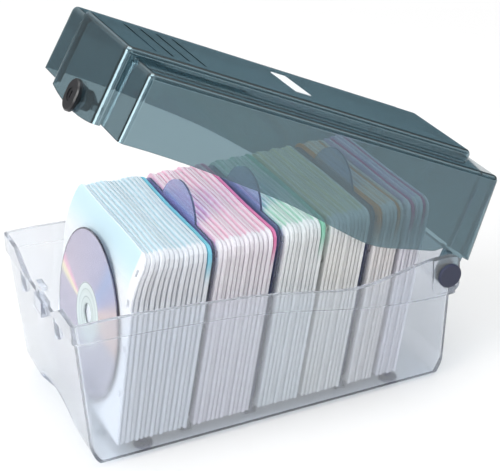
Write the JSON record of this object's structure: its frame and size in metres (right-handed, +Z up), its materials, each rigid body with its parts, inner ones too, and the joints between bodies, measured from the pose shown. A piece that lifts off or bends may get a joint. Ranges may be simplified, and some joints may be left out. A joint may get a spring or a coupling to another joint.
{
  "type": "disc storage box",
  "caption": "Free-standing disc file box with a frosted tub, a hinged smoke lid with a key lock, leaning sleeves and tabbed dividers.",
  "frame": {"origin": "on the ground plane under the middle of the open box's overall extents", "axes": "+X to the right side seen from the lock end, +Y from the lock end to the hinge end, +Z up"},
  "size_m": [0.1616, 0.316, 0.2769],
  "materials": {
    "frosted_shell": "frosted, see-through moulding",
    "smoke_shell": "clear smoke, polished",
    "dark_plastic": "satin",
    "steel": "satin",
    "lock_black": "semi-gloss",
    "foot_rubber": "matt",
    "divider_smoke": "clear smoke",
    "sleeve_blue": "thin translucent embossed sheet",
    "sleeve_pink": "thin translucent embossed sheet",
    "sleeve_green": "thin translucent embossed sheet",
    "sleeve_yellow": "thin translucent embossed sheet",
    "sleeve_orange": "thin translucent embossed sheet",
    "sleeve_violet": "thin translucent embossed sheet",
    "disc_silver": "mirror silver under clear plastic"
  },
  "bodies": {
    "base": {"tub": "frosted_shell", "hinge_pin_right": "dark_plastic", "hinge_pin_left": "dark_plastic", "hinge_clip_right": "steel", "hinge_clip_left": "steel", "foot_1": "foot_rubber", "foot_2": "foot_rubber", "foot_3": "foot_rubber", "foot_4": "foot_rubber", "divider_1": "divider_smoke", "divider_2": "divider_smoke", "divider_3": "divider_smoke", "sleeves_pink": "sleeve_pink", "sleeves_green": "sleeve_green", "sleeves_yellow": "sleeve_yellow", "sleeves_orange": "sleeve_orange", "sleeves_violet": "sleeve_violet"},
    "lid": {"lid_shell": "smoke_shell", "lock_housing": "lock_black", "lock_nut": "steel"},
    "lock": {"lock_plug": "lock_black", "lock_cam": "steel", "cam_screw": "steel"},
    "leaf_01": {"sleeve_blue_01": "sleeve_blue", "disc_front": "disc_silver"},
    "leaf_02": {"sleeve_blue_02": "sleeve_blue"},
    "leaf_03": {"sleeve_blue_03": "sleeve_blue"},
    "leaf_04": {"sleeve_blue_04": "sleeve_blue"},
    "leaf_05": {"sleeve_blue_05": "sleeve_blue"},
    "leaf_06": {"sleeve_blue_06": "sleeve_blue"},
    "leaf_07": {"sleeve_blue_07": "sleeve_blue"},
    "leaf_08": {"sleeve_blue_08": "sleeve_blue"},
    "leaf_09": {"sleeve_blue_09": "sleeve_blue"},
    "leaf_10": {"sleeve_blue_10": "sleeve_blue"},
    "leaf_11": {"sleeve_blue_11": "sleeve_blue"},
    "leaf_12": {"sleeve_blue_12": "sleeve_blue"},
    "leaf_13": {"sleeve_blue_13": "sleeve_blue"},
    "leaf_14": {"sleeve_blue_14": "sleeve_blue"},
    "leaf_15": {"sleeve_blue_15": "sleeve_blue"}
  },
  "joints": [
    {"name": "lid_hinge", "type": "hinge", "parent": "base", "child": "lid", "pos_m": [0, 0.11745, 0.0833], "axis": [-1, 0, 0], "range_deg": [-26.2, 73.8]},
    {"name": "lock_turn", "type": "hinge", "parent": "lid", "child": "lock", "pos_m": [0, -0.11887, 0.23547], "axis": [0, 0.8642, -0.5031], "range_deg": [0, 90]},
    {"name": "flip_01", "type": "hinge", "parent": "base", "child": "leaf_01", "pos_m": [0, -0.13339, 0.0106], "axis": [1, 0, 0], "range_deg": [0, 13]},
    {"name": "flip_02", "type": "hinge", "parent": "base", "child": "leaf_02", "pos_m": [0, -0.1282, 0.0106], "axis": [1, 0, 0], "range_deg": [0, 12.34]},
    {"name": "flip_03", "type": "hinge", "parent": "base", "child": "leaf_03", "pos_m": [0, -0.12476, 0.0106], "axis": [1, 0, 0], "range_deg": [0, 11.47]},
    {"name": "flip_04", "type": "hinge", "parent": "base", "child": "leaf_04", "pos_m": [0, -0.12131, 0.0106], "axis": [1, 0, 0], "range_deg": [0, 10.61]},
    {"name": "flip_05", "type": "hinge", "parent": "base", "child": "leaf_05", "pos_m": [0, -0.11786, 0.0106], "axis": [1, 0, 0], "range_deg": [0, 9.75]},
    {"name": "flip_06", "type": "hinge", "parent": "base", "child": "leaf_06", "pos_m": [0, -0.11441, 0.0106], "axis": [1, 0, 0], "range_deg": [0, 8.88]},
    {"name": "flip_07", "type": "hinge", "parent": "base", "child": "leaf_07", "pos_m": [0, -0.11096, 0.0106], "axis": [1, 0, 0], "range_deg": [0, 8.02]},
    {"name": "flip_08", "type": "hinge", "parent": "base", "child": "leaf_08", "pos_m": [0, -0.10751, 0.0106], "axis": [1, 0, 0], "range_deg": [0, 7.16]},
    {"name": "flip_09", "type": "hinge", "parent": "base", "child": "leaf_09", "pos_m": [0, -0.10406, 0.0106], "axis": [1, 0, 0], "range_deg": [0, 6.29]},
    {"name": "flip_10", "type": "hinge", "parent": "base", "child": "leaf_10", "pos_m": [0, -0.10061, 0.0106], "axis": [1, 0, 0], "range_deg": [0, 5.43]},
    {"name": "flip_11", "type": "hinge", "parent": "base", "child": "leaf_11", "pos_m": [0, -0.09717, 0.0106], "axis": [1, 0, 0], "range_deg": [0, 4.56]},
    {"name": "flip_12", "type": "hinge", "parent": "base", "child": "leaf_12", "pos_m": [0, -0.09372, 0.0106], "axis": [1, 0, 0], "range_deg": [0, 3.7]},
    {"name": "flip_13", "type": "hinge", "parent": "base", "child": "leaf_13", "pos_m": [0, -0.09027, 0.0106], "axis": [1, 0, 0], "range_deg": [0, 2.84]},
    {"name": "flip_14", "type": "hinge", "parent": "base", "child": "leaf_14", "pos_m": [0, -0.08682, 0.0106], "axis": [1, 0, 0], "range_deg": [0, 1.97]},
    {"name": "flip_15", "type": "hinge", "parent": "base", "child": "leaf_15", "pos_m": [0, -0.08337, 0.0106], "axis": [1, 0, 0], "range_deg": [0, 1.11]}
  ],
  "couplings": [
    {"joint": "flip_02", "follows": "flip_01", "ratio": 0.9336},
    {"joint": "flip_03", "follows": "flip_01", "ratio": 0.8671},
    {"joint": "flip_04", "follows": "flip_01", "ratio": 0.8007},
    {"joint": "flip_05", "follows": "flip_01", "ratio": 0.7343},
    {"joint": "flip_06", "follows": "flip_01", "ratio": 0.6679},
    {"joint": "flip_07", "follows": "flip_01", "ratio": 0.6014},
    {"joint": "flip_08", "follows": "flip_01", "ratio": 0.535},
    {"joint": "flip_09", "follows": "flip_01", "ratio": 0.4686},
    {"joint": "flip_10", "follows": "flip_01", "ratio": 0.4021},
    {"joint": "flip_11", "follows": "flip_01", "ratio": 0.3357},
    {"joint": "flip_12", "follows": "flip_01", "ratio": 0.2693},
    {"joint": "flip_13", "follows": "flip_01", "ratio": 0.2029},
    {"joint": "flip_14", "follows": "flip_01", "ratio": 0.1364},
    {"joint": "flip_15", "follows": "flip_01", "ratio": 0.07}
  ]
}
